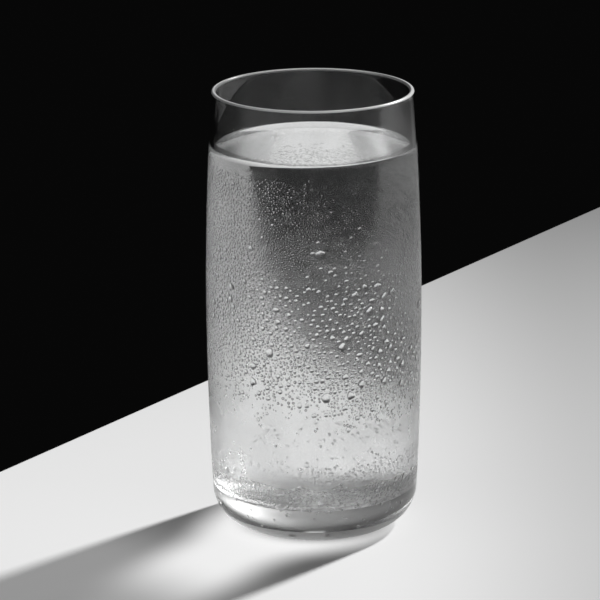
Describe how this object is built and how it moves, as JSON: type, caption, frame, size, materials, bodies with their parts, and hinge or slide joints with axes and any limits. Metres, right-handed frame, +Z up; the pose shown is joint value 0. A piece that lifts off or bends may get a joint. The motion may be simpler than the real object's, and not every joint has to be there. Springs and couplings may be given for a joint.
{
  "type": "glass of water",
  "caption": "Tall barrel-shaped drinking glass with a thick base and rounded foot, filled with cold water and beaded with condensation outside.",
  "frame": {"origin": "on the table, under the middle of the foot", "axes": "+Z up along the glass's axis of revolution, which is its longest way"},
  "size_m": [0.0668, 0.0668, 0.1385],
  "materials": {
    "clear_glass": "clear, smooth, fire-polished rim, misted outside below the waterline",
    "water": "clear still water"
  },
  "bodies": {
    "root": {"glass": "clear_glass", "water": "water"}
  },
  "joints": []
}
